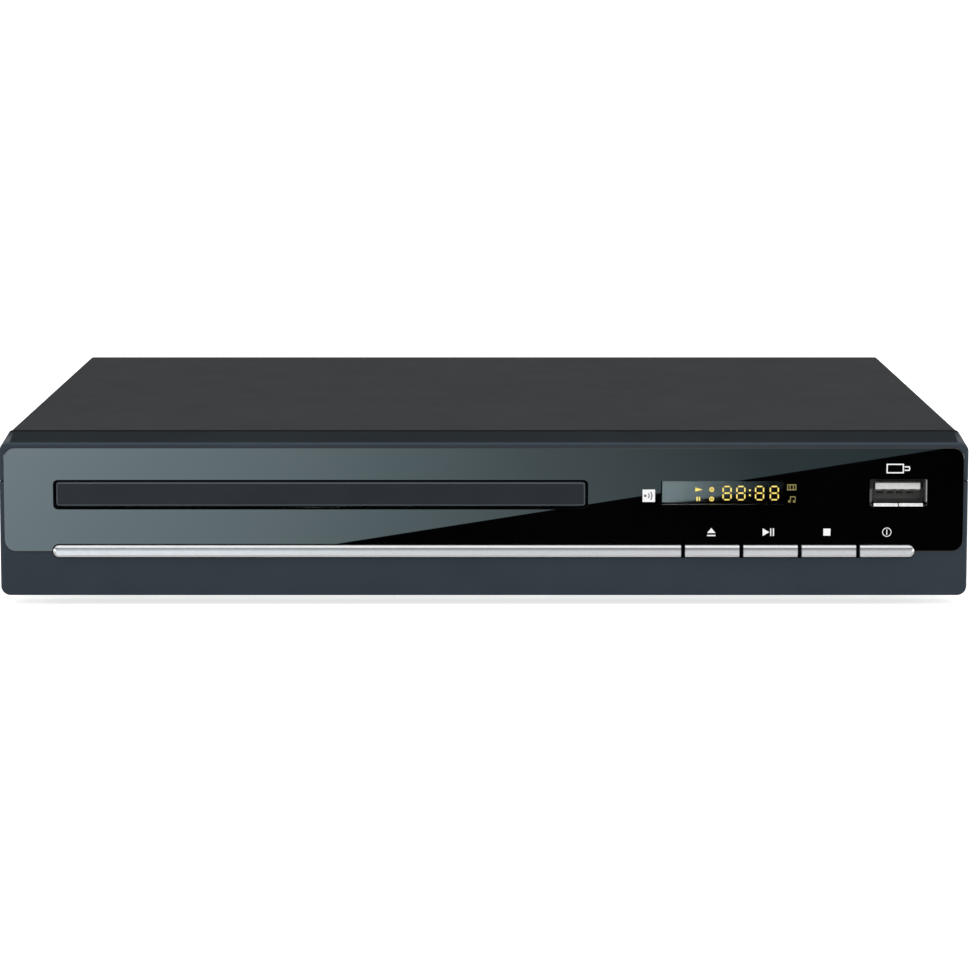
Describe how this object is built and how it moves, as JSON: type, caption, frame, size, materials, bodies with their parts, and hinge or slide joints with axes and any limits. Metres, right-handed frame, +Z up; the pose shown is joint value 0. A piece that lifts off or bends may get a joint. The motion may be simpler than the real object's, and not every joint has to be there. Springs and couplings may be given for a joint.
{
  "type": "disc player",
  "caption": "Slim tabletop disc player: folded steel case, glossy front with a tray, display, USB socket and a bar of keys.",
  "frame": {"origin": "on the table, under the middle of the whole player", "axes": "+Z up; the front faces -Y; +X to the right as seen from the front"},
  "size_m": [0.2398, 0.2124, 0.0427],
  "materials": {
    "front_bezel": "satin",
    "front_window": "gloss",
    "display_lens": "gloss",
    "trim_bar": "silver paint",
    "key_switches": "satin",
    "front_board": "solder mask",
    "display_module": "satin",
    "remote_eye": "gloss",
    "usb_shell": "plated",
    "usb_tongue": "satin",
    "top_cover": "fine texture",
    "chassis": "zinc plated",
    "rear_panel": "fine texture",
    "lid_screws": "black oxide",
    "inner_screws": "zinc plated",
    "feet": "matte",
    "jack_block": "satin",
    "jack_sleeves": "plated",
    "jack_inserts": "satin",
    "hdmi_socket": "plated",
    "mains_inlet": "satin",
    "inlet_pins": "plated",
    "loader_frame": "satin",
    "clamp_bridge": "zinc plated",
    "loading_motor": "zinc plated",
    "drive_belt": "matte",
    "power_board": "phenolic",
    "main_board": "solder mask",
    "chips": "matte",
    "capacitors": "sleeve",
    "transformer": "tape",
    "heat_sink": "extruded",
    "ribbon_cables": "satin",
    "tray": "satin",
    "tray_door": "satin",
    "tray_gear": "acetal",
    "pulley_gear": "acetal",
    "motor_pulley": "acetal",
    "cam_slider": "acetal",
    "lift_frame": "satin",
    "drive_plate": "zinc plated",
    "dampers": "matte",
    "damper_screws": "zinc plated",
    "spindle_motor": "plated",
    "rails": "ground",
    "rail_clips": "satin",
    "sled_motor": "plated",
    "turntable": "satin",
    "disc_seat": "matte",
    "pickup_sled": "die cast",
    "sled_nut": "acetal",
    "lens_holder": "satin",
    "objective_lens": "coated",
    "lead_screw": "ground",
    "clamper": "acetal",
    "clamp_magnet": "nickel plated",
    "eject_key": "silver paint",
    "play_key": "silver paint",
    "stop_key": "silver paint",
    "power_key": "silver paint"
  },
  "bodies": {
    "case": {"front_bezel": "front_bezel", "front_window": "front_window", "display_lens": "display_lens", "trim_bar": "trim_bar", "key_switches": "key_switches", "front_board": "front_board", "display_module": "display_module", "remote_eye": "remote_eye", "usb_shell": "usb_shell", "usb_tongue": "usb_tongue", "top_cover": "top_cover", "chassis": "chassis", "rear_panel": "rear_panel", "lid_screws": "lid_screws", "inner_screws": "inner_screws", "feet": "feet", "jack_block": "jack_block", "jack_sleeves": "jack_sleeves", "jack_inserts": "jack_inserts", "hdmi_socket": "hdmi_socket", "mains_inlet": "mains_inlet", "inlet_pins": "inlet_pins", "loader_frame": "loader_frame", "clamp_bridge": "clamp_bridge", "loading_motor": "loading_motor", "drive_belt": "drive_belt", "power_board": "power_board", "main_board": "main_board", "chips": "chips", "capacitors": "capacitors", "transformer": "transformer", "heat_sink": "heat_sink", "ribbon_cables": "ribbon_cables"},
    "tray": {"tray": "tray", "tray_door": "tray_door"},
    "tray_gear": {"tray_gear": "tray_gear"},
    "pulley_gear": {"pulley_gear": "pulley_gear"},
    "motor_pulley": {"motor_pulley": "motor_pulley"},
    "cam_slider": {"cam_slider": "cam_slider"},
    "lift": {"lift_frame": "lift_frame", "drive_plate": "drive_plate", "dampers": "dampers", "damper_screws": "damper_screws", "spindle_motor": "spindle_motor", "rails": "rails", "rail_clips": "rail_clips", "sled_motor": "sled_motor"},
    "turntable": {"turntable": "turntable", "disc_seat": "disc_seat"},
    "pickup": {"pickup_sled": "pickup_sled", "sled_nut": "sled_nut"},
    "lens": {"lens_holder": "lens_holder", "objective_lens": "objective_lens"},
    "lead_screw": {"lead_screw": "lead_screw"},
    "clamper": {"clamper": "clamper", "clamp_magnet": "clamp_magnet"},
    "eject_key": {"eject_key": "eject_key"},
    "play_key": {"play_key": "play_key"},
    "stop_key": {"stop_key": "stop_key"},
    "power_key": {"power_key": "power_key"}
  },
  "joints": [
    {"name": "tray_slide", "type": "slide", "parent": "case", "child": "tray", "axis": [0, -1, 0], "range_m": [0, 0.128]},
    {"name": "tray_gear_spin", "type": "hinge", "parent": "case", "child": "tray_gear", "pos_m": [0.01252, -0.07685, 0.0113], "axis": [0, 0, 1], "continuous": true},
    {"name": "pulley_gear_spin", "type": "hinge", "parent": "case", "child": "pulley_gear", "pos_m": [-0.00548, -0.07685, 0.0113], "axis": [0, 0, 1], "continuous": true},
    {"name": "motor_spin", "type": "hinge", "parent": "case", "child": "motor_pulley", "pos_m": [-0.04148, -0.07685, 0.0087], "axis": [0, 0, 1], "continuous": true},
    {"name": "lift_hinge", "type": "hinge", "parent": "case", "child": "lift", "pos_m": [-0.0404, 0.06315, 0.01825], "axis": [-1, 0, 0], "range_deg": [0, 5.14]},
    {"name": "cam_slide", "type": "slide", "parent": "case", "child": "cam_slider", "axis": [1, 0, 0], "range_m": [0, 0.01401]},
    {"name": "disc_spin", "type": "hinge", "parent": "lift", "child": "turntable", "pos_m": [-0.0404, -0.03281, 0.01349], "axis": [0, -0.0896, 0.996], "continuous": true},
    {"name": "clamper_spin", "type": "hinge", "parent": "case", "child": "clamper", "pos_m": [-0.0404, -0.03285, 0.033], "axis": [0, 0, 1], "continuous": true},
    {"name": "pickup_slide", "type": "slide", "parent": "lift", "child": "pickup", "axis": [0, 0.996, 0.0896], "range_m": [0, 0.034]},
    {"name": "lead_screw_spin", "type": "hinge", "parent": "lift", "child": "lead_screw", "pos_m": [-0.0054, 0.01044, 0.01266], "axis": [0, 0.996, 0.0896], "continuous": true},
    {"name": "lens_focus", "type": "slide", "parent": "pickup", "child": "lens", "axis": [0, -0.0896, 0.996], "range_m": [-0.0005, 0.0005], "stiffness_N_per_m": 200},
    {"name": "eject_press", "type": "slide", "parent": "case", "child": "eject_key", "axis": [0, 1, 0], "range_m": [0, 0.0003], "stiffness_N_per_m": 2500},
    {"name": "play_press", "type": "slide", "parent": "case", "child": "play_key", "axis": [0, 1, 0], "range_m": [0, 0.0003], "stiffness_N_per_m": 2500},
    {"name": "stop_press", "type": "slide", "parent": "case", "child": "stop_key", "axis": [0, 1, 0], "range_m": [0, 0.0003], "stiffness_N_per_m": 2500},
    {"name": "power_press", "type": "slide", "parent": "case", "child": "power_key", "axis": [0, 1, 0], "range_m": [0, 0.0003], "stiffness_N_per_m": 2500}
  ],
  "couplings": [
    {"joint": "tray_gear_spin", "follows": "tray_slide", "rad_per_m": -138.89},
    {"joint": "pulley_gear_spin", "follows": "tray_slide", "rad_per_m": 381.94},
    {"joint": "motor_spin", "follows": "tray_slide", "rad_per_m": 1527.8},
    {"joint": "cam_slide", "follows": "lift_hinge", "m_per_rad": 0.15607},
    {"joint": "clamper_spin", "follows": "disc_spin", "ratio": 1},
    {"joint": "lead_screw_spin", "follows": "pickup_slide", "rad_per_m": 2094.4}
  ]
}
